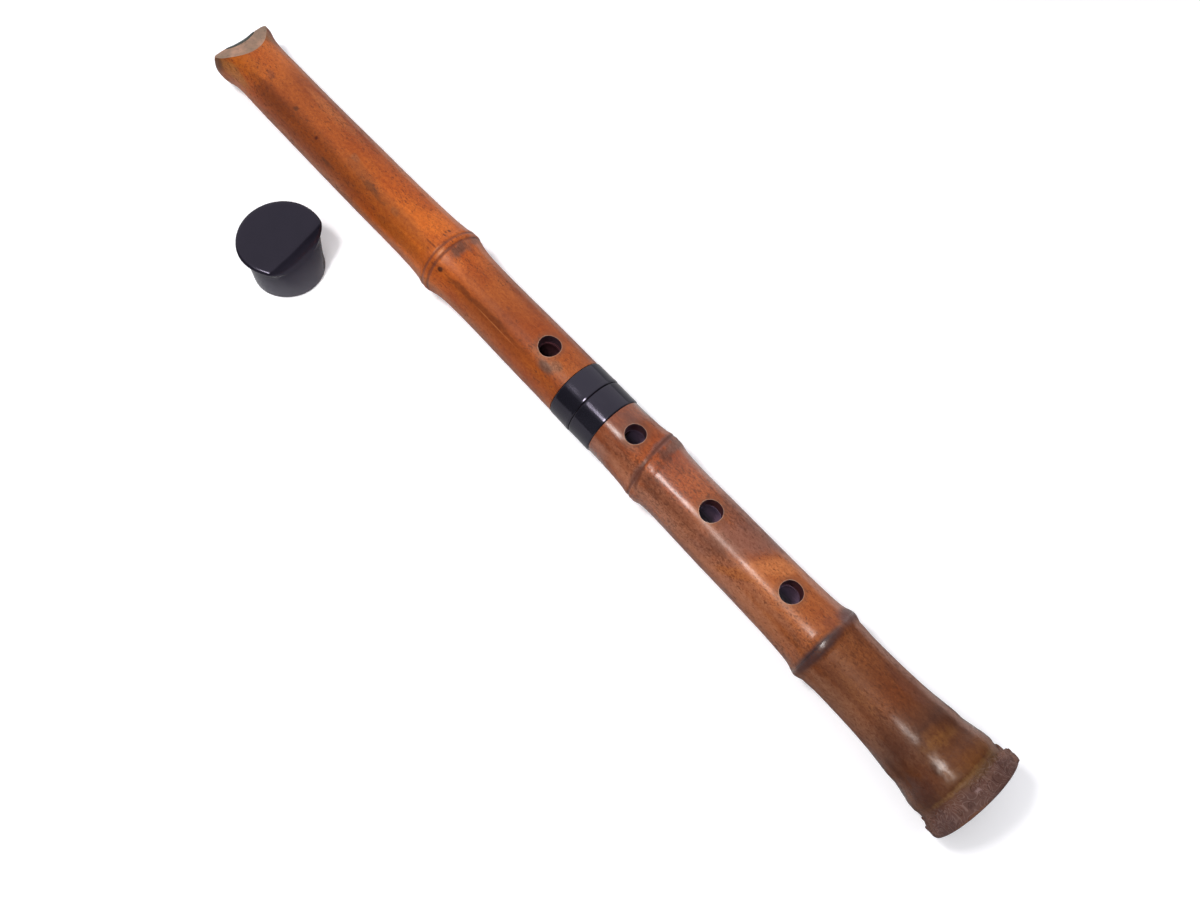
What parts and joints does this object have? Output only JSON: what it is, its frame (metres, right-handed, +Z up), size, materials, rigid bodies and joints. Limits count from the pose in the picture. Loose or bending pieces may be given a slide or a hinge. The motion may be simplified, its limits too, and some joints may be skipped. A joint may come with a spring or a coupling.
{
  "type": "shakuhachi",
  "caption": "End-blown bamboo flute in two push-fit sections with a bevelled blowing edge, finger and thumb holes, a lacquered bore, a flared root end and a separate mouthpiece cap.",
  "frame": {"origin": "on the table, in the middle of the footprint of the flute and its cap", "axes": "+X along the flute from its mouth to its root end, +Z up, away from the table, on the side of the four finger holes"},
  "size_m": [0.5454, 0.1088, 0.0516],
  "materials": {
    "upper_bamboo": "satin polished orange-brown bamboo with dark flecks",
    "lower_bamboo": "satin polished red-brown bamboo, darker and more matte at the root",
    "horn": "polished dark horn",
    "bore_lacquer": "glossy dark red lacquer",
    "tenon_bamboo": "lacquered dark bamboo",
    "band_lacquer": "glossy black lacquer",
    "cap_black": "smooth glossy black"
  },
  "bodies": {
    "lower_section": {"lower_culm": "lower_bamboo", "lower_bore_lining": "bore_lacquer", "lower_joint_band": "band_lacquer"},
    "tenon": {"joint_tenon": "tenon_bamboo"},
    "upper_section": {"upper_culm": "upper_bamboo", "upper_bore_lining": "bore_lacquer", "upper_joint_band": "band_lacquer", "blowing_edge_inlay": "horn"},
    "cap": {"mouthpiece_cap": "cap_black"}
  },
  "joints": [
    {"name": "joint_twist", "type": "hinge", "parent": "lower_section", "child": "tenon", "pos_m": [0.02088, 0.02867, 0.02243], "axis": [0.9999, 0, 0.0134], "continuous": true},
    {"name": "joint_pull", "type": "slide", "parent": "tenon", "child": "upper_section", "axis": [-0.9999, 0, -0.0134], "range_m": [0, 0.05]},
    {"name": "cap_lift", "type": "slide", "parent": "lower_section", "child": "cap", "axis": [0, 0, 1], "range_m": [0, 0.06]}
  ]
}
